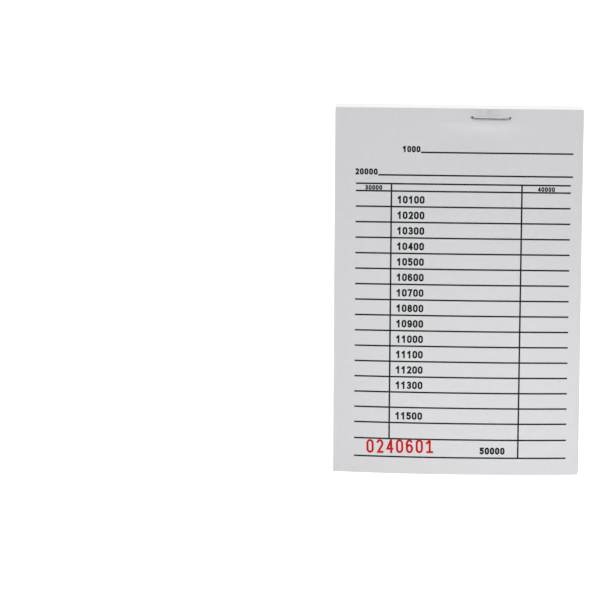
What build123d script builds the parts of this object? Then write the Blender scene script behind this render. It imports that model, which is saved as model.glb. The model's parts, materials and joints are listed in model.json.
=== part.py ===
from build123d import *
import os

# Duplicate receipt book, in millimetres, standing on its bottom edge.
# X runs across the page to the reader's right, the page faces -Y, and Z runs up to the stapled edge.
# The origin is under the middle of the book, on the surface that it stands on.

# Sheets
page_width = 88.9
page_height = 134.9
leaf_thickness = 0.105
leaf_air = 0.005
set_count = 25
leaves_per_set = 2
back_thickness = 0.25

# Fold below the stapled edge, where a turned leaf creases away from its stub
fold_drop = 6.5
fold_gap = 0.05

# Staple: flat-drawn wire, crown on the page, legs clinched inwards on the back sheet
crown_length = 14.2
staple_right_of_middle = 11.35
staple_drop = 3.3
staple_tilt = 0.7
wire_depth = 0.5
wire_height = 0.6
wire_edge_radius = 0.16
bend_inside_radius = 0.3
clinch_length = 5.6
point_angle = 40
wire_seat = 0.01
pierced_clearance = 0.04

# Places that follow from those sizes
leaf_count = set_count * leaves_per_set
leaf_pitch = leaf_thickness + leaf_air
block_depth = leaf_count * leaf_pitch + back_thickness
front_y = -block_depth / 2
back_y = block_depth / 2
fold_z = page_height - fold_drop


def leaf_front(index):
    """Y of the printed face of a leaf, counted from the front of the book."""
    return front_y + index * leaf_pitch


def sheet(face_y, thickness, bottom_z, top_z):
    """A sheet of the page's width: a rectangle on its front face, extruded back through its thickness."""
    middle = (0, face_y, (bottom_z + top_z) / 2)
    front_face = Plane(origin=middle, x_dir=(1, 0, 0), z_dir=(0, 1, 0))
    return extrude(front_face * Rectangle(page_width, top_z - bottom_z), amount=thickness)


# The staple lies in its own XY plane, with its crown centred on X, until it is placed on the book
leg_x = (crown_length - wire_depth) / 2
wire_out = wire_seat + wire_depth / 2
crown_y = front_y - wire_out
clinch_y = back_y + wire_out
staple_place = Pos(staple_right_of_middle, 0, page_height - staple_drop) * Rot(0, staple_tilt, 0)


def bent_wire():
    """Flat wire swept along crown, legs and clinches, with its two ends cut to chisel points."""
    tip_x = leg_x + wire_depth / 2 - clinch_length
    centre_line = FilletPolyline(
        (-tip_x, clinch_y),
        (-leg_x, clinch_y),
        (-leg_x, crown_y),
        (leg_x, crown_y),
        (leg_x, clinch_y),
        (tip_x, clinch_y),
        radius=bend_inside_radius + wire_depth / 2,
    )
    cut_end = Plane(origin=centre_line @ 0, x_dir=(0, 0, 1), z_dir=centre_line % 0)
    wire = sweep(cut_end * RectangleRounded(wire_height, wire_depth, wire_edge_radius), path=centre_line)
    nip = Box(4 * wire_depth, 4 * wire_depth, 2 * wire_height, align=(Align.CENTER, Align.MIN, Align.CENTER))
    for side in (-1, 1):
        point = Pos(side * tip_x, clinch_y - wire_depth / 2, 0)
        wire -= point * Rot(0, 0, side * point_angle) * nip
    return wire


def pierced_path():
    """The holes that the legs pierce: a channel along each leg, longer where the wire bends at each face."""
    width = wire_depth + 2 * pierced_clearance
    height = wire_height + 2 * pierced_clearance
    relief = bend_inside_radius + pierced_clearance
    path = Part()
    for side in (-1, 1):
        path += Pos(side * leg_x, 0, 0) * Box(width, 2 * block_depth, height)
        bend_x = side * (leg_x - (wire_depth + relief) / 2)
        for face_y in (front_y, back_y):
            path += Pos(bend_x, face_y, 0) * Box(relief, 2 * relief, height)
    return path


holes = staple_place * pierced_path()
stubs = [sheet(leaf_front(i), leaf_thickness, fold_z, page_height) - holes for i in range(leaf_count)]

nodes = {
    "stapled_stubs": Compound([stub.solid() for stub in stubs]),
    "back_sheet": sheet(back_y - back_thickness, back_thickness, 0, page_height) - holes,
    "staple": staple_place * bent_wire(),
}
for number in range(1, set_count + 1):
    first = (number - 1) * leaves_per_set
    for place, kind in enumerate(("original", "duplicate")):
        leaf = sheet(leaf_front(first + place), leaf_thickness, 0, fold_z - fold_gap)
        nodes[f"{kind}_{number:02d}"] = leaf

os.makedirs("parts", exist_ok=True)
for name, shape in nodes.items():
    export_step(shape, f"parts/{name}.step")
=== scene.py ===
"""A duplicate receipt book: fifty printed sheets, a buff back sheet and a wire staple, on a white stage.

The book stands on its foot. X runs to the reader's right, the printed face looks to -Y, and Z runs up to the
stapled edge. Everything is in metres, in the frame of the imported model.
"""
import json
import math

import bpy
import numpy as np
from bpy.props import FloatProperty, FloatVectorProperty, IntProperty, PointerProperty
from mathutils import Matrix, Vector

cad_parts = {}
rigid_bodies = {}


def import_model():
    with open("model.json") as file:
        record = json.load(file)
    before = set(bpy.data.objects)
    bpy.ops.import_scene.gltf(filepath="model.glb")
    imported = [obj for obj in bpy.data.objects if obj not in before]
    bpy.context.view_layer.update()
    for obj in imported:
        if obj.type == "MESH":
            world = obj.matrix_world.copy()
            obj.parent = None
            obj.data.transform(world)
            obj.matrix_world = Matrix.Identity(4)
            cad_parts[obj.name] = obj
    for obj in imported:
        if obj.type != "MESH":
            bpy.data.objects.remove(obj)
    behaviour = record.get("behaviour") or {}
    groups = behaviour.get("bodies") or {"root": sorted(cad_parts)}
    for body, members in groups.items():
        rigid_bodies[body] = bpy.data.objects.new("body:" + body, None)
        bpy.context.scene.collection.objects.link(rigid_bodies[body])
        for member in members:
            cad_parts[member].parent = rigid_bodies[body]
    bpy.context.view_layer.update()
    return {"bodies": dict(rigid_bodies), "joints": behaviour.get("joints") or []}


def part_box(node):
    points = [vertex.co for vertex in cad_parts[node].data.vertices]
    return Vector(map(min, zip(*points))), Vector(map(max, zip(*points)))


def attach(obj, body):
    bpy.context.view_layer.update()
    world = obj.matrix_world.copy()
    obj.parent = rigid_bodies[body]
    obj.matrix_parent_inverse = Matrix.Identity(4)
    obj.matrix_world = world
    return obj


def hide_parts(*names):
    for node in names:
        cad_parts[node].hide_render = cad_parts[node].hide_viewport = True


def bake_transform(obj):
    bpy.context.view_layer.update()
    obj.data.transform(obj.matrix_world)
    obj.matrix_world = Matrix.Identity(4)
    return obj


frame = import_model()

bl_info = {
    "name": "Duplicate Receipt Book",
    "version": (1, 0, 0),
    "blender": (4, 5, 0),
    "location": "View3D > Sidebar > Receipt Book",
    "description": "Makes the sheets, print, staple and stage of a stapled duplicate receipt book",
    "category": "Add Mesh",
}

MM = 0.001

# The binding body holds the stubs, the back sheet and the staple. Every other body is one leaf.
BINDING = "binding"
LEAVES = sorted((body for body in frame["bodies"] if body != BINDING), key=lambda body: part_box(body)[0].y)
HELD_BY = {joint["child"]: joint["parent"] for joint in frame["joints"]}
FOLD_Z = frame["joints"][0]["pos_m"][2]

# Places of the flat block of sheets, read from the frame
LEAF_LOW, LEAF_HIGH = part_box(LEAVES[0])
BACK_LOW, BACK_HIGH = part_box("back_sheet")
STAPLE_LOW, STAPLE_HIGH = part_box("staple")
PAGE_LEFT = LEAF_LOW.x
PAGE_WIDTH = LEAF_HIGH.x - LEAF_LOW.x
PAGE_RIGHT = PAGE_LEFT + PAGE_WIDTH
PAGE_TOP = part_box("stapled_stubs")[1].z
PAGE_FOOT = LEAF_LOW.z
BLOCK_FRONT = LEAF_LOW.y
BLOCK_BACK = BACK_HIGH.y
LEAF_THICKNESS = LEAF_HIGH.y - LEAF_LOW.y
LEAF_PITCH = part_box(LEAVES[1])[0].y - LEAF_LOW.y
STAPLE_X = (STAPLE_LOW.x + STAPLE_HIGH.x) / 2
STAPLE_Z = (STAPLE_LOW.z + STAPLE_HIGH.z) / 2
CROWN_LENGTH = STAPLE_HIGH.x - STAPLE_LOW.x

# Leaves with a fine grid round the staple, since they show there, and how many times coarser the others' is
FINE_LEAVES = 4
PLAIN_GRID = 3
# Turn between two faces from which their edge is sharp
SHARP_ANGLE = math.radians(40)

# Leaves to a set: an original and its duplicate
SET_SIZE = 2
# Seed of the leaves' jogs, and the part of a jog that drifts from leaf to leaf
JOG_SEED = 11
DRIFT_SHARE = 0.6

# Steps to half a turn: numerals on the fine leaves and on the others, the wire's bends, and its edges
FINE_STEPS = 12
PLAIN_STEPS = 6
WIRE_STEPS = 24
EDGE_STEPS = 12
# Steps along the straight of the crown
CROWN_STEPS = 24

# Waves of the cockle: strength, rate across and up the page, and phase
COCKLE_WAVES = ((1, 1, 0.45, 0), (0.7, 0.6, -0.8, 1))
# Waves of the creases above the staple: strength, rate and phase
CREASE_WAVES = ((1, 1, 0.7), (0.6, 1.65, 2))

# Least cosine at a corner of a stroke, so that its outer side doesn't run far out
LEAST_COSINE = 0.4
# How many times further the ink stands on the paper than it reaches in
INK_BITE = 3

# Width, pitch and stroke weights of the black numerals, as shares of their height
NUMERAL_WIDTH = 0.62
NUMERAL_PITCH = 0.72
PLAIN = 0.225
BOLD = 0.25

# Strokes of plain numerals in a box one wide and one high. A pair is a point, and six numbers are an arc:
# its centre, its two radii, and the degrees that it runs from and to.
NUMERALS = {
    "0": [[(0.5, 0.74, 0.5, 0.26, 0, 180), (0.5, 0.26, 0.5, 0.26, 180, 360), (1, 0.74)]],
    "1": [[(0.6, 1), (0.6, 0)], [(0.08, 0.76), (0.5, 0.96)]],
    "2": [[(0.5, 0.72, 0.48, 0.28, 150, -35), (0.15, 0), (1, 0)]],
    "3": [[(0.48, 0.76, 0.46, 0.24, 140, -90)], [(0.48, 0.26, 0.5, 0.26, 90, -140)]],
    "4": [[(0.78, 1), (0.78, 0)], [(0.7, 0.95), (0.06, 0.28), (1, 0.28)]],
    "5": [[(0.95, 1), (0.1, 1), (0.1, 0.58)], [(0.47, 0.33, 0.53, 0.33, 115, -140)]],
    "6": [[(0.5, 0.7, 0.5, 0.3, 40, 180), (0.5, 0.3, 0.5, 0.3, 180, 500)]],
    "7": [[(0, 1), (0.95, 1), (0.36, 0)]],
    "8": [[(0.5, 0.76, 0.42, 0.24, 90, 450)], [(0.5, 0.26, 0.5, 0.26, 90, 450)]],
    "9": [[(0.5, 0.3, 0.5, 0.3, -140, 0), (0.5, 0.7, 0.5, 0.3, 0, 320)]],
}
# Those of the stamped serial number, whose 1 has a foot
STAMPED = {**NUMERALS, "1": NUMERALS["1"] + [[(0.15, 0), (1.05, 0)]]}

# Soft lamps: place, width and height, the height on the book that each is turned to, and power in watts
MIDDLE_UP = (PAGE_TOP + PAGE_FOOT) / 2
LAMPS = {
    "overhead": ((0.3, -0.95, 2.25), (2.0, 2.0), MIDDLE_UP, 49),
    "side": ((1.75, -0.25, 0.35), (1.2, 1.2), MIDDLE_UP, 13),
    "low": ((0.005, -0.105, 0.02), (0.24, 0.03), PAGE_FOOT, 0.030),
    "rear": ((-0.7, 1.6, 0.35), (1.2, 1.2), MIDDLE_UP, 16),
}
# How far the camera sees, in metres
VIEW_REACH = 20


def length(name, description, millimetres):
    """A length property, given in millimetres."""
    metres = millimetres * MM
    return FloatProperty(name=name, description=description, default=metres, precision=6, unit="LENGTH")


def angle(name, description, degrees):
    """An angle property, given in degrees."""
    return FloatProperty(name=name, description=description, default=math.radians(degrees), unit="ROTATION")


def lengths(name, description, *millimetres):
    """A row of lengths, given in millimetres."""
    row = {"default": [value * MM for value in millimetres], "size": len(millimetres)}
    return FloatVectorProperty(name=name, description=description, precision=6, unit="LENGTH", **row)


def share(name, description, default):
    """A plain number from nothing to one."""
    return FloatProperty(name=name, description=description, default=default, min=0, max=1, subtype="FACTOR")


def whole(name, description, default):
    """A whole number, one or more."""
    return IntProperty(name=name, description=description, default=default, min=1)


def colour(name, description, default):
    """A scene-linear colour."""
    kind = {"min": 0, "max": 1, "subtype": "COLOR"}
    return FloatVectorProperty(name=name, description=description, default=default, **kind)


class ReceiptBookSheets(bpy.types.PropertyGroup):
    """How the stack of sheets stands and is cut."""

    bow: length("Bow", "How far the foot's corners stand behind its middle", 2.43)
    cockle: length("Cockle", "Height of the slow waves in the sheets", 0.05)
    cockle_length: length("Cockle length", "From one wave to the next", 47)
    fan: length("Fan", "How far the foot of the back sheet lies to the right", 0.51)
    puff: length("Puff", "How far the front sheet stands proud above the staple", 0.45)
    puff_back: share("Puff back", "Puff of the back sheet, as a share of that", 0.3)
    puff_reach: length("Puff reach", "Reach of the puff along the page, each way", 5)
    pucker: share("Pucker", "Strength of the creases in the puff", 0.35)
    pucker_length: length("Pucker length", "From one crease to the next", 6.1)
    groove: length("Groove", "Half width of the groove that holds the crown", 2.6)
    dent: length("Dent", "How deep the crown is pressed into the front sheet", 0.25)
    dent_reach: length("Dent reach", "Distance at which the dent is about a third", 1.3)
    swell: length("Swell", "How far the front sheet stands proud below the fold", 0.28)
    swell_place: lengths("Swell place", "Middle, right of the staple and below the fold", -3, 4.2)
    swell_reach: length("Swell reach", "Reach of the swell along the page, each way", 12)
    press: lengths("Press mark", "Width and height of the mark of the stapling head", 31, 6.4)
    press_offset: length("Press offset", "Middle of the mark, right of the staple", -3.4)
    press_sides: lengths("Press sides", "Width of the left and lower sides, and of the right", 1.2, 6)
    press_depth: length("Press depth", "Depth of the mark", 0.08)
    jog: length("Jog", "How far a sheet may be out of line with the block", 0.02)
    trim: length("Trim", "How far the top edge of a sheet may be cut short", 0.008)
    skew: length("Skew", "How much higher the top edge is at the back", 0.44)
    ink_room: length("Ink room", "Part of a leaf that its print takes up", 0.012)
    bend: length("Bend", "Length of sheet that bends when a leaf turns", 6.6)
    fine_reach: length("Fine reach", "Reach of the fine grid along the page, each way", 21)
    fine_step: length("Fine step", "Grid step round the staple", 0.3)
    page_step: length("Page step", "Grid step away from the staple and the fold", 3.0)
    white: colour("White paper", "Colour of the leaves", (0.797, 0.795, 0.814))
    buff: colour("Buff paper", "Colour of the back sheet", (0.9, 0.69, 0.36))
    mottle: share("Mottle", "Strength of the clouds in the leaves", 0.011)
    fleck: share("Fleck", "Strength of their fibres and specks", 0.013)
    buff_mottle: share("Buff mottle", "Strength of the clouds in the back sheet", 0.022)
    buff_fleck: share("Buff fleck", "Strength of its fibres and specks", 0.026)


class ReceiptBookForm(bpy.types.PropertyGroup):
    """The ruled form and its numerals. Across is from the page's left edge, and down from its top edge."""

    rule: length("Rule", "Thickness of a ruled line", 0.58)
    ink_height: length("Ink height", "How far the ink stands on the paper", 0.010)
    first_line: lengths("First line", "Left end and place of the upper entry line", 30.83, 16.12)
    second_line: lengths("Second line", "Left end and place of the lower entry line", 15.56, 24.49)
    lines_right: length("Lines right", "Right end of both entry lines", 85.35)
    table: lengths("Table", "Left and right side of the table", 7.58, 84.66)
    table_down: length("Table down", "Top line of the table", 27.67)
    head_height: length("Head height", "Height of the table's head row", 2.68)
    row_height: length("Row height", "Height of an item row", 5.703)
    row_count: whole("Rows", "Number of even item rows", 15)
    blank_row: whole("Blank row", "The item row that has no number", 14)
    last_height: length("Last row height", "Height of the blank row below the item rows", 6.04)
    foot_height: length("Foot height", "Height of the serial number's row", 6.70)
    columns: lengths("Columns", "Places of the two upright lines", 20.37, 67.20)
    label: lengths("Labels", "Height of the entry lines' numbers, and their gap", 2.3, 0.2)
    head: lengths("Head numbers", "Height, and lift off the line", 1.75, 0.36)
    item: lengths("Item numbers", "Left side, height, and lift off the line", 22.5, 2.8, 1.19)
    first_item: whole("First item", "Number of the first item row", 10100)
    item_step: whole("Item step", "Step from one item number to the next", 100)
    foot: lengths("Foot number", "Left side, height, and lift off the line", 53.3, 2.6, 1.35)
    serial_corner: lengths("Serial corner", "Left side, and lift off the line", 12.2, 1.12)
    serial_size: lengths("Serial size", "Width and height of a digit", 2.65, 5.15)
    serial_pitch: length("Serial pitch", "Step from digit to digit", 3.59)
    serial_stroke: length("Serial stroke", "Width of the serial number's strokes", 0.78)
    serial_tilt: angle("Serial tilt", "Slope of the serial number, up to the right", 1.1)
    first_serial: whole("First serial", "Serial number of the first set", 240601)
    ink: colour("Form ink", "Colour of the form's print", (0.007, 0.014, 0.010))
    serial_ink: colour("Serial ink", "Colour of the serial number", (0.64, 0.005, 0.006))


class ReceiptBookStaple(bpy.types.PropertyGroup):
    """The wire of the staple."""

    wire_depth: length("Wire depth", "Thickness of the wire, out from the page", 0.5)
    wire_height: length("Wire height", "Width of the flat wire, up the page", 0.6)
    edge_radius: length("Edge radius", "Rounding of the wire's four edges", 0.22)
    bend_radius: length("Bend radius", "Inside radius of the wire's bends", 0.3)
    clinch: length("Clinch", "Length of each leg's end, folded on the back", 5.6)
    point: angle("Point", "Angle of the chisel cut at the wire's ends", 40)
    tilt: angle("Tilt", "Slope of the crown, down to the right", 0.7)
    sag: length("Sag", "How far the crown's middle hangs below its ends", 0.16)
    clearance: length("Clearance", "Room in the pierced holes round the wire", 0.04)
    steel: colour("Steel", "Colour of the wire", (0.45, 0.43, 0.43))
    # Painted shade: the wire's lower side is darkened in its colour, for the shade under the crown
    painted_shade: colour("Tarnish", "Colour of the wire's lower side", (0.13, 0.13, 0.11))
    # Painted shade: the bends are darkened in their colour, for the shade of the holes they dip into
    bend_painted_shade: colour("Bend tarnish", "Colour of the wire's bends", (0.03, 0.032, 0.022))


class ReceiptBookStage(bpy.types.PropertyGroup):
    """The camera, the floor and the light from all round."""

    elevation: angle("Elevation", "Height of the camera above the page's normal", 12.27)
    azimuth: angle("Azimuth", "Turn of the camera to the reader's right", 2.23)
    roll: angle("Roll", "Turn of the camera about its line of sight", 0.308)
    distance: length("Distance", "From the camera to the point aimed at", 1581)
    lens: FloatProperty(name="Lens", description="Focal length", default=262.5, unit="CAMERA")
    aim: lengths("Aim", "Point aimed at, from the page's middle and from its foot", -56.73, 64.02)
    ambient: share("Ambient", "Strength of the light from all round", 0.39)
    floor_size: length("Floor size", "Side of the floor", 8000)
    floor_paint: share("Floor paint", "How much light the floor throws back", 0.35)
    floor_shade: share("Floor shade", "How strongly the floor shows a shadow", 0.45)
    floor_white: share("Floor white", "Brightness of the floor near the book", 0.66)
    floor_reach: lengths("Floor reach", "How far that holds, and where the floor is white", 250, 1200)


class ReceiptBookSettings(bpy.types.PropertyGroup):
    """All settings of the receipt book."""

    sheets: PointerProperty(type=ReceiptBookSheets)
    form: PointerProperty(type=ReceiptBookForm)
    staple: PointerProperty(type=ReceiptBookStaple)
    stage: PointerProperty(type=ReceiptBookStage)


def settings():
    """The scene's receipt book settings."""
    return bpy.context.scene.receipt_book


# Meshes

def new_piece(name, points, quads, materials, places, face_materials=None):
    """An object at the origin from arrays of points and four-cornered faces.

    places is a vector for each point, which the materials read, so that a pattern stays on a bent sheet.
    """
    mesh = bpy.data.meshes.new(name)
    mesh.from_pydata(points, [], quads)
    mesh.polygons.foreach_set("use_smooth", np.ones(len(quads), dtype=bool))
    attribute = mesh.attributes.new("place", "FLOAT_VECTOR", "POINT")
    attribute.data.foreach_set("vector", places.astype(np.float32).ravel())
    for material in materials:
        mesh.materials.append(material)
    if face_materials is not None:
        mesh.polygons.foreach_set("material_index", face_materials.astype(np.int32))
    mesh.set_sharp_from_angle(angle=SHARP_ANGLE)
    mesh.update()
    piece = bpy.data.objects.new(name, mesh)
    bpy.context.scene.collection.objects.link(piece)
    return piece


def sheet_quads(kept):
    """Faces of a thin closed sheet whose front points are numbered row by row, then its back points.

    Each kept cell of the grid has a front and a back face. Each grid edge with a kept cell on one side only
    has a wall from front to back, so the rim and the holes close alike.
    """
    rows, columns = kept.shape
    number = np.arange((rows + 1) * (columns + 1)).reshape(rows + 1, columns + 1)
    behind = number.size
    low_left, low_right = number[:-1, :-1], number[:-1, 1:]
    top_left, top_right = number[1:, :-1], number[1:, 1:]
    round_kept = np.pad(kept, 1)
    walls = (
        (kept & ~round_kept[:-2, 1:-1], low_right, low_left),
        (kept & ~round_kept[2:, 1:-1], top_left, top_right),
        (kept & ~round_kept[1:-1, :-2], low_left, top_left),
        (kept & ~round_kept[1:-1, 2:], top_right, low_right),
    )
    front = np.stack([low_left, low_right, top_right, top_left], axis=-1)[kept]
    quads = [front, front[:, ::-1] + behind]
    for bare, start, end in walls:
        quads.append(np.stack([start, end, end + behind, start + behind], axis=-1)[bare])
    return np.concatenate(quads)


def swept_quads(stations, ring, closed):
    """Faces of a tube: that many rings of points, closed into a loop or capped at both ends.

    A cap is a strip of faces between the two halves of the ring.
    """
    number = np.arange(stations * ring).reshape(stations, ring)
    here = number if closed else number[:-1]
    ahead = np.roll(number, -1, axis=0) if closed else number[1:]
    corners = [here, ahead, np.roll(ahead, -1, axis=1), np.roll(here, -1, axis=1)]
    sides = np.stack(corners, axis=-1).reshape(-1, 4)
    if closed:
        return sides
    near = np.arange(ring // 2 - 1)
    far = ring - 1 - near
    cap = np.stack([near, near + 1, far - 1, far], axis=-1)
    return np.concatenate([sides, cap, cap[:, ::-1] + number[-1, 0]])


def stroke_path(moves, steps):
    """Points of a stroke: those given, and even steps round each arc, that many to half a turn."""
    parts = []
    for move in moves:
        if len(move) == 2:
            parts.append(np.array([move], dtype=float))
        else:
            across, up, radius_across, radius_up, start, end = move
            count = max(2, round(steps * abs(end - start) / 180) + 1)
            turn = np.radians(np.linspace(start, end, count))
            arc = [across + radius_across * np.cos(turn), up + radius_up * np.sin(turn)]
            parts.append(np.stack(arc, axis=-1))
    return np.concatenate(parts)


def stroke_sides(path):
    """Vectors to the left of a path, long enough at its corners to keep an even width.

    At a point between two runs it is the mean of their left normals, over its cosine with either.
    """
    runs = np.diff(path, axis=0)
    normals = np.stack([-runs[:, 1], runs[:, 0]], axis=-1) / np.linalg.norm(runs, axis=1)[:, None]
    before = np.concatenate([normals[:1], normals])
    after = np.concatenate([normals, normals[-1:]])
    mean = before + after
    mean /= np.linalg.norm(mean, axis=1)[:, None]
    cosine = np.clip((mean * after).sum(axis=1), LEAST_COSINE, 1)
    return mean / cosine[:, None]


# The shape that the book stands in

def crown_sag(along):
    """How far the crown hangs below its ends.

    It is the sag times one less the fourth power of the share of the way from the middle to a leg.
    """
    staple = settings().staple
    leg = (CROWN_LENGTH - staple.wire_depth) / 2
    return staple.sag * (1 - np.minimum(np.abs(along) / leg, 1) ** 4)


def crown_drop(x):
    """How far the crown lies below the staple's middle at a place across, by its slope and sag."""
    return (x - STAPLE_X) * math.tan(settings().staple.tilt) + crown_sag(x - STAPLE_X)


def from_crown(x, z):
    """Distance on the page to the nearest place under the straight middle of the crown."""
    past_end = np.maximum(np.abs(x - STAPLE_X) - CROWN_LENGTH / 2 + settings().sheets.dent_reach, 0)
    return np.hypot(past_end, z - STAPLE_Z + crown_drop(x))


def smooth_step(value):
    """Zero below nothing, one above one, and a smooth cubic between."""
    held = np.clip(value, 0, 1)
    return held * held * (3 - 2 * held)


def block_depth(y):
    """Share of the way from the front of the block to its back."""
    return (y - BLOCK_FRONT) / (BLOCK_BACK - BLOCK_FRONT)


def below_fold(z):
    """Share of the way from the fold to the foot, and nothing above the fold."""
    return np.clip((FOLD_Z - z) / (FOLD_Z - PAGE_FOOT), 0, 1)


def bow(x, z, sheets):
    """How far a place on the page is drawn in towards the middle, and how far back it stands.

    Back is a parabola across the page, its middle forward and its edges back, and slow waves. The parabola
    grows with the power 1.5 of the share of the way from the fold to the foot, and the waves with the smooth
    step of three times that share. A sheet doesn't stretch, so the parabola draws its places in by half the
    integral of its slope squared.
    """
    down = below_fold(z)
    across = 2 * x / PAGE_WIDTH
    height = sheets.bow * down**1.5
    turn = 2 * math.pi / sheets.cockle_length
    waves = 0
    for strength, across_rate, up_rate, phase in COCKLE_WAVES:
        waves = waves + strength * np.sin(turn * (across_rate * x + up_rate * z) + phase)
    drawn_in = 4 / 3 * height**2 / PAGE_WIDTH * across**3
    back = height * (across**2 - 1 / 3) + sheets.cockle * smooth_step(3 * down) * waves
    return drawn_in, back


def puff(x, z, sheets):
    """How far the front sheet stands proud round the staple, less the mark of the stapling head.

    The puff is a bell along the page, times one less a bell in the distance from the crown, so that the
    paper stays under the wire, times one plus two waves for the creases. It is there above the crown only.
    Below the fold a wider swell rises to its most and dies away, as s times exp(1 - s). The mark is a box
    with soft sides.
    """
    along = x - STAPLE_X
    distance = from_crown(x, z)
    held = 1 - np.exp(-((distance / sheets.groove) ** 2))
    rise = smooth_step((z - STAPLE_Z + crown_drop(x)) / sheets.groove + 0.5)
    turn = 2 * math.pi / sheets.pucker_length
    waves = sum(strength * np.sin(rate * turn * along + phase) for strength, rate, phase in CREASE_WAVES)
    creases = 1 + sheets.pucker * waves
    proud = sheets.puff * np.exp(-((along / sheets.puff_reach) ** 2)) * held * rise * creases
    swell_offset, swell_drop = sheets.swell_place
    below = np.maximum((FOLD_Z - z) / swell_drop, 0)
    swell_bell = np.exp(-(((along - swell_offset) / sheets.swell_reach) ** 2))
    proud = proud + sheets.swell * swell_bell * below * np.exp(1 - below)
    width, height = sheets.press
    lip, fade = sheets.press_sides
    from_press = along - sheets.press_offset
    inside = smooth_step((width / 2 + from_press) / lip)
    inside = inside * smooth_step((width / 2 - from_press) / fade)
    inside = inside * smooth_step((z - PAGE_TOP + height) / lip)
    return proud - sheets.press_depth * inside * smooth_step(distance / sheets.groove)


def settle(points, sheets):
    """Moves points of the flat block to where the standing book holds them.

    Every sheet shares the bow. The fan grows evenly with the depth and from the fold to the foot. The puff
    is full at the front, and falls evenly to a smaller one the other way at the back. The crown's dent dies
    away exponentially with the distance from it, and evenly with the depth.
    """
    x, y, z = points[..., 0], points[..., 1], points[..., 2]
    depth = block_depth(y)
    outward = 1 - (1 + sheets.puff_back) * depth
    dent = (1 - depth) * sheets.dent * np.exp(-from_crown(x, z) / sheets.dent_reach)
    drawn_in, back = bow(x, z, sheets)
    settled = points.copy()
    settled[..., 0] = x - drawn_in + sheets.fan * depth * below_fold(z)
    settled[..., 1] = y + back + dent - outward * puff(x, z, sheets)
    return settled


def pierced(staple):
    """Left, right, low and high side of the two holes for the staple's legs."""
    half_height = staple.wire_height / 2 + staple.clearance
    outer = CROWN_LENGTH / 2 + staple.clearance
    inner = CROWN_LENGTH / 2 - staple.wire_depth - staple.bend_radius - staple.clearance
    holes = []
    for side in (-1, 1):
        left, right = sorted((STAPLE_X + side * outer, STAPLE_X + side * inner))
        middle = STAPLE_Z - crown_drop((left + right) / 2)
        holes.append((left, right, middle - half_height, middle + half_height))
    return holes


def grid_lines(low, high, step, fine_low, fine_high, fine_step, cuts):
    """Grid lines from low to high: even steps, finer ones in the fine stretch, and each cut."""
    coarse = np.linspace(low, high, max(2, round((high - low) / step) + 1))
    fine = np.linspace(fine_low, fine_high, max(2, round((fine_high - fine_low) / fine_step) + 1))
    outside = coarse[(coarse < fine_low - fine_step / 2) | (coarse > fine_high + fine_step / 2)]
    cuts = np.array(cuts)
    lines = np.concatenate([outside, fine])
    clear = np.abs(lines[:, None] - cuts[None, :]).min(axis=1) > fine_step / 4
    return np.unique(np.concatenate([lines[clear], cuts]))


def sheet_piece(name, front_y, back_y, low, high, jog, fine, materials):
    """A thin closed sheet of the page's width from low to high, pierced for the staple and settled.

    It is a grid in the page's plane with a front and a back layer. Jog shifts it sideways and trims its top
    edge, and the skewed cut lifts that edge in step with the layer's place in the block.
    """
    sheets, staple = settings().sheets, settings().staple
    holes = [hole for hole in pierced(staple) if low < hole[2] and hole[3] < high]
    fine_step = sheets.fine_step if fine else PLAIN_GRID * sheets.fine_step
    x_cuts = [PAGE_LEFT, PAGE_RIGHT] + [x for hole in holes for x in hole[:2]]
    z_cuts = [low, high] + [z for hole in holes for z in hole[2:]]
    fine_x = (STAPLE_X - sheets.fine_reach, STAPLE_X + sheets.fine_reach)
    fine_z = (max(low, FOLD_Z - sheets.bend), high)
    x = grid_lines(PAGE_LEFT, PAGE_RIGHT, sheets.page_step, *fine_x, fine_step, x_cuts)
    z = grid_lines(low, high, sheets.page_step, *fine_z, fine_step, z_cuts)
    across, up = np.meshgrid(x, z)
    middle_x, middle_z = (across[:-1, :-1] + across[1:, 1:]) / 2, (up[:-1, :-1] + up[1:, 1:]) / 2
    kept = np.ones(middle_x.shape, dtype=bool)
    for left, right, bottom, top in holes:
        kept &= ~((middle_x > left) & (middle_x < right) & (middle_z > bottom) & (middle_z < top))
    above_fold = np.clip((up - FOLD_Z) / (PAGE_TOP - FOLD_Z), 0, 1)
    above_holes = np.clip((up - STAPLE_HIGH.z) / (PAGE_TOP - STAPLE_HIGH.z), 0, 1)
    faces_y = (front_y - sheets.ink_room * above_fold, np.full(across.shape, back_y))
    layers = []
    for y in faces_y:
        cut = sheets.skew * block_depth(y) - jog[1]
        layers.append(np.stack([across + jog[0], y, up + cut * above_holes], axis=-1).reshape(-1, 3))
    flat = np.concatenate(layers)
    used, quads = np.unique(sheet_quads(kept), return_inverse=True)
    points = settle(flat, sheets)[used]
    places = np.stack([flat[:, 0], flat[:, 2], flat[:, 1] * len(LEAVES)], axis=-1)[used] / MM
    return new_piece(name, points, quads.reshape(-1, 4), materials, places)


def leaf_jogs():
    """A sideways shift and a trim of the top edge for each leaf, drifting as in a jogged stack."""
    draw = np.random.default_rng(JOG_SEED).uniform(-1, 1, (len(LEAVES), 2))
    drift = np.cumsum(draw, axis=0)
    drift -= np.linspace(0, 1, len(LEAVES))[:, None] * drift[-1]
    drift = drift / np.abs(drift).max(axis=0) * DRIFT_SHARE + draw * (1 - DRIFT_SHARE)
    sheets = settings().sheets
    jogs = drift * (sheets.jog, sheets.trim)
    jogs[:, 1] = np.abs(jogs[:, 1])
    return jogs


def leaf_faces(index):
    """Front and back Y of a leaf's paper in the flat block, with room left for the print."""
    front = BLOCK_FRONT + index * LEAF_PITCH
    return front + settings().sheets.ink_room, front + LEAF_THICKNESS


# The print

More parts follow.
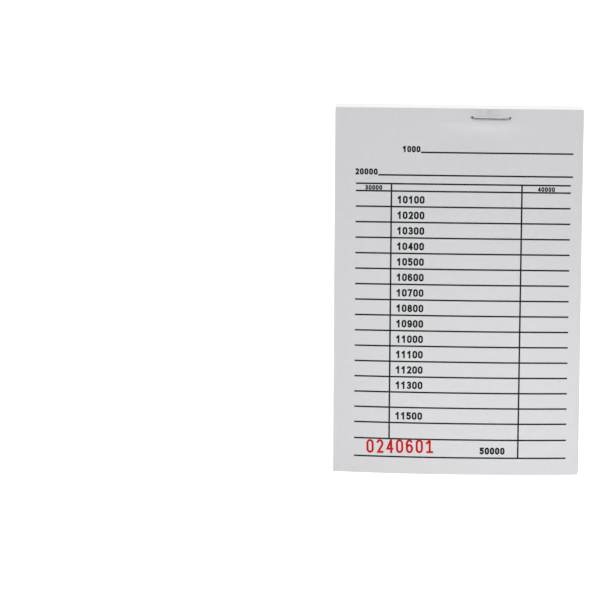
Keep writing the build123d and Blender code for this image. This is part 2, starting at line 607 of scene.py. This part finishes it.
def ink_stroke(path, half_width, front_y):
    """Points and faces of a flat ribbon of ink along a path on the page.

    The section is a rectangle: two rails on top of the ink and two just under the paper's surface.
    """
    form = settings().form
    closed = bool(np.allclose(path[0], path[-1]))
    sides = stroke_sides(path)
    if closed:
        seam = sides[:1] + sides[-1:]
        seam /= np.linalg.norm(seam)
        path, sides = path[:-1], np.concatenate([seam, sides[1:-1]])
    left, right = path + half_width * sides, path - half_width * sides
    top_y, low_y = front_y - form.ink_height, front_y + form.ink_height / INK_BITE
    rails = [(right, top_y), (left, top_y), (left, low_y), (right, low_y)]
    ring = [np.stack([rail[:, 0], np.full(len(rail), y), rail[:, 1]], axis=-1) for rail, y in rails]
    points = np.stack(ring, axis=1).reshape(-1, 3)
    return points, swept_quads(len(path), len(rails), closed)


def row_lines(form):
    """Places down the page of the lines below the head row, the last blank row and the foot row."""
    head = form.table_down + form.head_height
    last_row = head + form.row_count * form.row_height + form.last_height
    return head, last_row, last_row + form.foot_height


def rule_paths(form, step):
    """Paths of all ruled lines: even runs between two ends, in steps, so that they follow the bow."""
    head, last_row, foot = row_lines(form)
    left, right = form.table
    rows = head + form.row_height * np.arange(form.row_count + 1)
    ends = [((start, down), (form.lines_right, down)) for start, down in (form.first_line, form.second_line)]
    ends += [((left, down), (right, down)) for down in (form.table_down, last_row, foot, *rows)]
    ends += [((x, form.table_down), (x, low)) for x, low in zip(form.columns, (last_row, foot))]
    paths = []
    for start, end in ends:
        count = round(math.dist(start, end) / step) + 1
        paths.append((PAGE_LEFT, PAGE_TOP) + np.linspace(start, end, count) * (1, -1))
    return paths


def squared(path, reach):
    """An open path made longer by that reach at both ends. A closed path stays as it is."""
    if np.allclose(path[0], path[-1]):
        return path
    first, last = path[0] - path[1], path[-1] - path[-2]
    longer = path.copy()
    longer[0] += reach * first / np.linalg.norm(first)
    longer[-1] += reach * last / np.linalg.norm(last)
    return longer


def numeral_paths(numerals, text, size, pitch, stroke, steps):
    """Paths of the strokes of a row of numerals of that width and height, from its lower left corner.

    Their middle lines stand half a stroke inside the numerals' outline, and open strokes end square on it.
    """
    inner = np.array(size) - stroke
    paths = []
    for place, sign in enumerate(text):
        corner = np.array([place * pitch, 0]) + stroke / 2
        for moves in numerals[sign]:
            paths.append(squared(corner + stroke_path(moves, steps) * inner, stroke / 2))
    return paths


def number_width(text, cap):
    """Width of a row of black numerals of that height."""
    return ((len(text) - 1) * NUMERAL_PITCH + NUMERAL_WIDTH) * cap


def form_numbers(form):
    """Text, left side, base line, height and weight of each black number of the form, one by one."""
    head, _, foot = row_lines(form)
    left, cap, lift = form.foot
    yield "50000", left, foot - lift, cap, BOLD
    cap, gap = form.label
    for text, (line_left, down) in (("1000", form.first_line), ("20000", form.second_line)):
        yield text, line_left - gap - number_width(text, cap), down, cap, BOLD
    cap, lift = form.head
    columns = (("30000", form.table[0], form.columns[0]), ("40000", form.columns[1], form.table[1]))
    for text, left, right in columns:
        yield text, (left + right - number_width(text, cap)) / 2, head - lift, cap, BOLD
    left, cap, lift = form.item
    for row in range(form.row_count):
        if row + 1 != form.blank_row:
            base = head + (row + 1) * form.row_height - lift
            yield str(form.first_item + row * form.item_step), left, base, cap, PLAIN


def serial_paths(form, index, steps):
    """Paths of the strokes of a set's serial number, turned a little about its lower left corner."""
    text = f"{form.first_serial + index // SET_SIZE:07d}"
    cosine, sine = math.cos(form.serial_tilt), math.sin(form.serial_tilt)
    turn = np.array([[cosine, sine], [-sine, cosine]])
    left, lift = form.serial_corner
    corner = np.array([PAGE_LEFT + left, PAGE_TOP - row_lines(form)[-1] + lift])
    size = tuple(form.serial_size)
    paths = numeral_paths(STAMPED, text, size, form.serial_pitch, form.serial_stroke, steps)
    return [corner + path @ turn for path in paths]


def print_piece(index, steps):
    """The print on a leaf: ruled lines and plain numbers in black, and the serial number in red."""
    form, sheets = settings().form, settings().sheets
    front_y = leaf_faces(index)[0]
    strokes = [(path, form.rule / 2, 0) for path in rule_paths(form, sheets.page_step)]
    for text, left, base, cap, weight in form_numbers(form):
        corner = np.array([PAGE_LEFT + left, PAGE_TOP - base])
        size = (NUMERAL_WIDTH * cap, cap)
        paths = numeral_paths(NUMERALS, text, size, NUMERAL_PITCH * cap, weight * cap, steps)
        strokes += [(corner + path, weight * cap / 2, 0) for path in paths]
    strokes += [(path, form.serial_stroke / 2, 1) for path in serial_paths(form, index, steps)]
    points, quads, inks, count = [], [], [], 0
    for path, half_width, ink in strokes:
        stroke_points, stroke_quads = ink_stroke(path, half_width, front_y)
        points.append(stroke_points)
        quads.append(stroke_quads + count)
        inks.append(np.full(len(stroke_quads), ink))
        count += len(stroke_points)
    flat = np.concatenate(points)
    places = flat[:, [0, 2, 1]] / MM
    materials = [ink_material("form_ink", form.ink), ink_material("serial_ink", form.serial_ink)]
    name = f"{LEAVES[index]}_print"
    faces, face_inks = np.concatenate(quads), np.concatenate(inks)
    return new_piece(name, settle(flat, sheets), faces, materials, places, face_inks)


# Materials

WHITE = (1, 1, 1, 1)
# Most of a noise pattern's values, the middle ones, and those at the edge of a speck
MOST = (0.3, 0.7)
MIDDLE = (0.35, 0.65)
SPECK_EDGE = (0.004, 0.009)
# How many times darker a speck is than a fibre
SPECK_SHADE = 9
# Where the painted shade of a bend's hole starts, in millimetres from the bend, and ends, from the clinch
BEND_SHADE_START = (-0.2, 0.4)
BEND_SHADE_END = (0, 0.6)
# Where the painted shade on the wire's lower side starts, as a share of half the wire's height
UNDERSIDE_SHADE_TOP = 0.55


def add_node(tree, kind, fields=None, numbered=None, **named):
    """A shader node with its fields set, and each input linked or given its value.

    An input is given by its number, or by its name with _ for a space.
    """
    node = tree.nodes.new("ShaderNode" + kind)
    for field, value in (fields or {}).items():
        setattr(node, field, value)
    inputs = {name.replace("_", " "): value for name, value in named.items()}
    for key, value in {**(numbered or {}), **inputs}.items():
        if isinstance(value, bpy.types.NodeSocket):
            tree.links.new(value, node.inputs[key])
        else:
            node.inputs[key].default_value = value
    return node


def new_material(name):
    """An empty node material, its tree, and the socket of the place attribute, in millimetres."""
    material = bpy.data.materials.new(name)
    material.use_nodes = True
    tree = material.node_tree
    tree.nodes.clear()
    place = add_node(tree, "Attribute", {"attribute_type": "GEOMETRY", "attribute_name": "place"})
    return material, tree, place.outputs["Vector"]


def noise(tree, vector, scale, detail, stretch=(1, 1, 1)):
    """Noise with that many features to a millimetre, stretched by a factor on each axis."""
    turned = add_node(tree, "Mapping", Vector=vector, Scale=stretch).outputs["Vector"]
    return add_node(tree, "TexNoise", Vector=turned, Scale=scale, Detail=detail).outputs["Fac"]


def spread(tree, value, given, wanted):
    """A value mapped from the given range to the wanted one, and held there."""
    ends = {"From_Min": given[0], "From_Max": given[1], "To_Min": wanted[0], "To_Max": wanted[1]}
    return add_node(tree, "MapRange", Value=value, **ends).outputs["Result"]


def worked_out(tree, operation, *values):
    """The result of a sum done on one value or two."""
    return add_node(tree, "Math", {"operation": operation}, dict(enumerate(values))).outputs["Value"]


def mixed(tree, part, first, second):
    """The first colour with that part of the second in it."""
    return add_node(tree, "Mix", {"data_type": "RGBA"}, {0: part, 6: first, 7: second}).outputs[2]


def either_shader(tree, chosen, first, second):
    """The second shader where the chosen value is one, and the first one elsewhere."""
    return add_node(tree, "MixShader", None, {0: chosen, 1: first, 2: second}).outputs["Shader"]


def principled(material, **inputs):
    """The material with a principled surface of those inputs."""
    surface = add_node(material.node_tree, "BsdfPrincipled", **inputs)
    add_node(material.node_tree, "OutputMaterial", Surface=surface.outputs["BSDF"])
    return material


def paper_material(name, base, mottle, fleck):
    """Uncoated paper: cloudy formation, crossed fibres, a few specks, and a felt-like bump.

    The colour is the base times the formation, the two fibre directions and the specks.
    """
    found = bpy.data.materials.get(name)
    if found:
        return found
    material, tree, place = new_material(name)
    clouds = spread(tree, noise(tree, place, scale=0.35, detail=3), MOST, (1 - mottle, 1 + mottle))
    fibres = []
    for stretch in ((0.5, 1.3, 1), (1.3, 0.5, 1)):
        crossed = noise(tree, place, scale=2.2, detail=4, stretch=stretch)
        fibres.append(spread(tree, crossed, MOST, (1 - fleck, 1 + fleck)))
    specks = add_node(tree, "TexVoronoi", Vector=place, Scale=0.05).outputs["Distance"]
    specks = spread(tree, specks, SPECK_EDGE, (1 - SPECK_SHADE * fleck, 1))
    clouded = worked_out(tree, "MULTIPLY", clouds, specks)
    value = worked_out(tree, "MULTIPLY", clouded, worked_out(tree, "MULTIPLY", *fibres))
    shade = add_node(tree, "HueSaturation", Color=(*base, 1), Value=value).outputs["Color"]
    felt = noise(tree, place, scale=3.5, detail=5)
    rough = spread(tree, felt, MOST, (0.82, 0.96))
    bump = add_node(tree, "Bump", Strength=0.25, Distance=0.03 * MM, Height=felt).outputs["Normal"]
    return principled(material, Base_Color=shade, Roughness=rough, Specular_IOR_Level=0.25, Normal=bump)


def ink_material(name, base):
    """Printing ink: an even colour, with a sheen broken up where the paper's felt takes more of it."""
    found = bpy.data.materials.get(name)
    if found:
        return found
    material, tree, place = new_material(name)
    rough = spread(tree, noise(tree, place, scale=5, detail=3), MIDDLE, (0.45, 0.8))
    return principled(material, Base_Color=(*base, 1), Roughness=rough, Specular_IOR_Level=0.15)


def steel_material(name, staple):
    """Drawn staple wire: bright metal with fine lines along its length, and painted shade below and at its
    bends.

    The first axis of the place runs along the wire from the crown's middle, so noise that is long on it
    makes the drawn lines. The third runs up the section. Painted shade for the gap under the crown grows
    down the section in patches, and darker painted shade for the holes lies between the front and back
    bends.
    """
    material, tree, place = new_material(name)
    along, _, up = add_node(tree, "SeparateXYZ", Vector=place).outputs
    run = worked_out(tree, "ABSOLUTE", along)
    bend = (CROWN_LENGTH / 2 - staple.wire_depth - staple.bend_radius) / MM
    clinch = bend + (STAPLE_HIGH.y - STAPLE_LOW.y) / MM
    # Painted shade over the bends, for the shade of the holes that the wire dips into
    starts = spread(tree, run, bend + np.array(BEND_SHADE_START), (0, 1))
    ends = spread(tree, run, clinch + np.array(BEND_SHADE_END), (1, 0))
    # Painted shade on the wire's lower side, in patches, for the shade under the crown
    below = spread(tree, up, (UNDERSIDE_SHADE_TOP * (staple.wire_height / 2 / MM), 0), (0, 1))
    patches = spread(tree, noise(tree, place, scale=0.8, detail=3), MIDDLE, (0.7, 1))
    painted_underside = worked_out(tree, "MULTIPLY", below, patches)
    shade = mixed(tree, painted_underside, (*staple.steel, 1), (*staple.painted_shade, 1))
    shade = mixed(tree, worked_out(tree, "MULTIPLY", starts, ends), shade, (*staple.bend_painted_shade, 1))
    lines = noise(tree, place, scale=9, detail=3, stretch=(0.04, 1, 1))
    rough = spread(tree, lines, MOST, (0.42, 0.58))
    bump = add_node(tree, "Bump", Strength=0.2, Distance=0.01 * MM, Height=lines).outputs["Normal"]
    return principled(material, Base_Color=shade, Metallic=1.0, Roughness=rough, Normal=bump)


# The wire and the stage

def wire_piece(staple):
    """The staple: a rounded flat section carried along the wire's middle line.

    The line is two clinches, two legs and a crown that sags, joined by quarter circles. At its ends the
    section is pushed back along it in proportion to the distance from the paper, which makes chisel points.
    """
    half_depth = staple.wire_depth / 2
    tip = CROWN_LENGTH / 2 - staple.clinch
    radius = staple.bend_radius + half_depth
    bend_x = CROWN_LENGTH / 2 - half_depth - radius
    crown_y = STAPLE_LOW.y + half_depth + settings().sheets.dent
    clinch_y = STAPLE_HIGH.y - half_depth
    moves = [
        (-tip, clinch_y),
        (-bend_x, clinch_y - radius, radius, radius, 90, 180),
        (-bend_x, crown_y + radius, radius, radius, 180, 270),
        *[(x, crown_y) for x in np.linspace(-bend_x, bend_x, CROWN_STEPS + 1)[1:-1]],
        (bend_x, crown_y + radius, radius, radius, 270, 360),
        (bend_x, clinch_y - radius, radius, radius, 0, 90),
        (tip, clinch_y),
    ]
    line = stroke_path(moves, WIRE_STEPS)
    edge = staple.edge_radius
    flat_depth, flat_height = half_depth - edge, staple.wire_height / 2 - edge
    corners = ((1, 1, 0), (-1, 1, 90), (-1, -1, 180), (1, -1, 270))
    edges = [(flat_depth * a, flat_height * b, edge, edge, turn, turn + 90) for a, b, turn in corners]
    section = stroke_path(edges, EDGE_STEPS)
    points = np.zeros((len(line), len(section), 3))
    points[..., :2] = line[:, None, :] + stroke_sides(line)[:, None, :] * section[None, :, :1]
    on_front = line[:, 1] < (crown_y + clinch_y) / 2
    points[..., 2] = section[None, :, 1] - (crown_sag(line[:, 0]) * on_front)[:, None]
    cut_back = (half_depth - section[:, 0]) / math.tan(staple.point)
    points[0, :, 0] -= cut_back
    points[-1, :, 0] += cut_back
    cosine, sine = math.cos(staple.tilt), math.sin(staple.tilt)
    tilted = points.copy()
    tilted[..., 0] = STAPLE_X + cosine * points[..., 0] + sine * points[..., 2]
    tilted[..., 2] = STAPLE_Z - sine * points[..., 0] + cosine * points[..., 2]
    run = np.concatenate([[0], np.cumsum(np.linalg.norm(np.diff(line, axis=0), axis=1))])
    from_middle = run - run[-1] / 2
    axes = np.broadcast_arrays(from_middle[:, None], section[None, :, 0], section[None, :, 1])
    places = np.stack(axes, axis=-1).reshape(-1, 3) / MM
    quads = swept_quads(len(line), len(section), False)
    steel = steel_material("staple_steel", staple)
    return new_piece("wire_staple", tilted.reshape(-1, 3), quads, [steel], places)


def seen_white(tree):
    """One for rays that show the surround: from the camera, off metal, or through glass."""
    path = add_node(tree, "LightPath").outputs
    found = worked_out(tree, "MAXIMUM", path["Is Camera Ray"], path["Is Glossy Ray"])
    return worked_out(tree, "MAXIMUM", found, path["Is Transmission Ray"])


def floor_piece(stage):
    """A level square at the foot of the book, white to the eye but for the book's shadow.

    What it shows by itself grows with the distance from the book, so that it ends in the white surround.
    """
    half = stage.floor_size / 2
    corners = np.array([(-half, -half, 0), (half, -half, 0), (half, half, 0), (-half, half, 0)])
    material, tree, place = new_material("white_floor")
    paint = add_node(tree, "BsdfDiffuse", Color=(*[stage.floor_paint] * 3, 1)).outputs["BSDF"]
    shown = add_node(tree, "BsdfDiffuse", Color=(*[stage.floor_shade] * 3, 1)).outputs["BSDF"]
    reach = add_node(tree, "VectorMath", {"operation": "LENGTH"}, {0: place}).outputs["Value"]
    near, far = stage.floor_reach
    by_itself = spread(tree, reach, (near / MM, far / MM), (stage.floor_white, 1))
    glow = add_node(tree, "Emission", Color=WHITE, Strength=by_itself).outputs["Emission"]
    white = add_node(tree, "AddShader", None, {0: shown, 1: glow}).outputs["Shader"]
    add_node(tree, "OutputMaterial", Surface=either_shader(tree, seen_white(tree), paint, white))
    return new_piece("studio_floor", corners, np.array([[0, 1, 2, 3]]), [material], corners / MM)


def add_surround(scene, stage):
    """A world that is white to the eye and an even soft light on everything else."""
    scene.world = bpy.data.worlds.new("studio_surround")
    scene.world.use_nodes = True
    tree = scene.world.node_tree
    tree.nodes.clear()
    light = add_node(tree, "Background", Color=WHITE, Strength=stage.ambient).outputs["Background"]
    white = add_node(tree, "Background", Color=WHITE, Strength=1.0).outputs["Background"]
    add_node(tree, "OutputWorld", Surface=either_shader(tree, seen_white(tree), light, white))


def add_lamp(scene, name, place, size, aim_up, watts):
    """A soft lamp of that width and height at that place, turned to that height on the book."""
    data = bpy.data.lights.new(name, "AREA")
    data.shape = "RECTANGLE"
    data.size, data.size_y = size
    data.energy = watts
    lamp = bpy.data.objects.new(name, data)
    aim = Vector((0, 0, aim_up)) - Vector(place)
    lamp.location = place
    lamp.rotation_euler = aim.to_track_quat("-Z", "Y").to_euler()
    lamp.visible_camera = False
    scene.collection.objects.link(lamp)


def add_camera(scene, stage):
    """A long lens, raised and turned about the point aimed at, then rolled."""
    data = bpy.data.cameras.new("camera")
    data.lens = stage.lens
    data.clip_end = VIEW_REACH
    level = math.cos(stage.elevation)
    across, towards = math.sin(stage.azimuth) * level, -math.cos(stage.azimuth) * level
    back = Vector((across, towards, math.sin(stage.elevation)))
    aim_x, aim_z = stage.aim
    turn = (-back).to_track_quat("-Z", "Y").to_matrix() @ Matrix.Rotation(stage.roll, 3, "Z")
    camera = bpy.data.objects.new("camera", data)
    camera.location = Vector((aim_x, BLOCK_FRONT, aim_z)) + back * stage.distance
    camera.rotation_euler = turn.to_euler()
    scene.collection.objects.link(camera)
    scene.camera = camera


# Operators

def leaf_sheet(index, part, low, high, fine):
    """The paper of a leaf, or a part of it, from low to high on the page."""
    sheets = settings().sheets
    paper = paper_material("white_bond_paper", sheets.white, sheets.mottle, sheets.fleck)
    name = f"{LEAVES[index]}_{part}"
    return sheet_piece(name, *leaf_faces(index), low, high, leaf_jogs()[index], fine, [paper])


def turn_at_fold(sheet, index):
    """Bakes the paper of a leaf into place and hides the leaf's own part of the model."""
    leaf = LEAVES[index]
    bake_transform(sheet)
    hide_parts(leaf)


class RECEIPTBOOK_OT_first_set(bpy.types.Operator):
    """Make the first original and duplicate, each a stub and a page that meet at the fold"""

    bl_idname = "receipt_book.first_set"
    bl_label = "First Set"

    def execute(self, context):
        for index, leaf in enumerate(LEAVES):
            if HELD_BY[leaf] != BINDING:
                stub = leaf_sheet(index, "stub", FOLD_Z, PAGE_TOP, True)
                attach(stub, BINDING)
                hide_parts("stapled_stubs")
                turn_at_fold(leaf_sheet(index, "page", PAGE_FOOT, FOLD_Z, True), index)
        return {"FINISHED"}


class RECEIPTBOOK_OT_inner_sheets(bpy.types.Operator):
    """Make the other leaves, each one sheet"""

    bl_idname = "receipt_book.inner_sheets"
    bl_label = "Inner Sheets"

    def execute(self, context):
        for index, leaf in enumerate(LEAVES):
            if HELD_BY[leaf] == BINDING:
                fine = index < FINE_LEAVES
                turn_at_fold(leaf_sheet(index, "sheet", PAGE_FOOT, PAGE_TOP, fine), index)
        return {"FINISHED"}


class RECEIPTBOOK_OT_print(bpy.types.Operator):
    """Make the print on every leaf: the ruled form, its numbers and the set's serial number"""

    bl_idname = "receipt_book.print"
    bl_label = "Print"

    def execute(self, context):
        for index, leaf in enumerate(LEAVES):
            steps = FINE_STEPS if index < FINE_LEAVES else PLAIN_STEPS
            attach(print_piece(index, steps), leaf)
        return {"FINISHED"}


class RECEIPTBOOK_OT_back_sheet(bpy.types.Operator):
    """Make the buff sheet at the back of the book, its top trimmed by twice a leaf's jog"""

    bl_idname = "receipt_book.back_sheet"
    bl_label = "Back Sheet"

    def execute(self, context):
        sheets = settings().sheets
        paper = paper_material("buff_paper", sheets.buff, sheets.buff_mottle, sheets.buff_fleck)
        jog = (0, 2 * sheets.jog)
        sheet = sheet_piece("buff_sheet", BACK_LOW.y, BACK_HIGH.y, PAGE_FOOT, PAGE_TOP, jog, True, [paper])
        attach(sheet, BINDING)
        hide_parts("back_sheet")
        return {"FINISHED"}


class RECEIPTBOOK_OT_staple(bpy.types.Operator):
    """Make the wire staple: its crown, its two legs and their clinched ends"""

    bl_idname = "receipt_book.staple"
    bl_label = "Staple"

    def execute(self, context):
        wire = wire_piece(settings().staple)
        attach(wire, BINDING)
        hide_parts("staple")
        return {"FINISHED"}


class RECEIPTBOOK_OT_stage(bpy.types.Operator):
    """Make the white floor and surround, four soft lamps and the camera"""

    bl_idname = "receipt_book.stage"
    bl_label = "Stage"

    def execute(self, context):
        scene, stage = context.scene, settings().stage
        floor = floor_piece(stage)
        add_surround(scene, stage)
        for name, lamp in LAMPS.items():
            add_lamp(scene, f"{name}_softbox", *lamp)
        add_camera(scene, stage)
        scene.view_settings.view_transform = "Standard"
        return {"FINISHED"}


class RECEIPTBOOK_PT_panel(bpy.types.Panel):
    """Lists the pieces of the receipt book and their settings"""

    bl_label = "Receipt Book"
    bl_idname = "RECEIPTBOOK_PT_panel"
    bl_space_type = "VIEW_3D"
    bl_region_type = "UI"
    bl_category = "Receipt Book"

    def draw(self, context):
        for operator in OPERATORS:
            self.layout.operator(operator.bl_idname)
        for group in (settings().sheets, settings().form, settings().staple, settings().stage):
            box = self.layout.box()
            for name in group.__annotations__:
                box.prop(group, name)


GROUPS = (ReceiptBookSheets, ReceiptBookForm, ReceiptBookStaple, ReceiptBookStage)
OPERATORS = (
    RECEIPTBOOK_OT_first_set,
    RECEIPTBOOK_OT_inner_sheets,
    RECEIPTBOOK_OT_print,
    RECEIPTBOOK_OT_back_sheet,
    RECEIPTBOOK_OT_staple,
    RECEIPTBOOK_OT_stage,
)
CLASSES = (*GROUPS, ReceiptBookSettings, *OPERATORS, RECEIPTBOOK_PT_panel)


def register():
    for cls in CLASSES:
        bpy.utils.register_class(cls)
    bpy.types.Scene.receipt_book = PointerProperty(type=ReceiptBookSettings)


def unregister():
    del bpy.types.Scene.receipt_book
    for cls in reversed(CLASSES):
        bpy.utils.unregister_class(cls)


def main():
    register()
    bpy.ops.receipt_book.first_set()
    bpy.ops.receipt_book.inner_sheets()
    bpy.ops.receipt_book.print()
    bpy.ops.receipt_book.back_sheet()
    bpy.ops.receipt_book.staple()
    bpy.ops.receipt_book.stage()


if __name__ == "__main__":
    main()
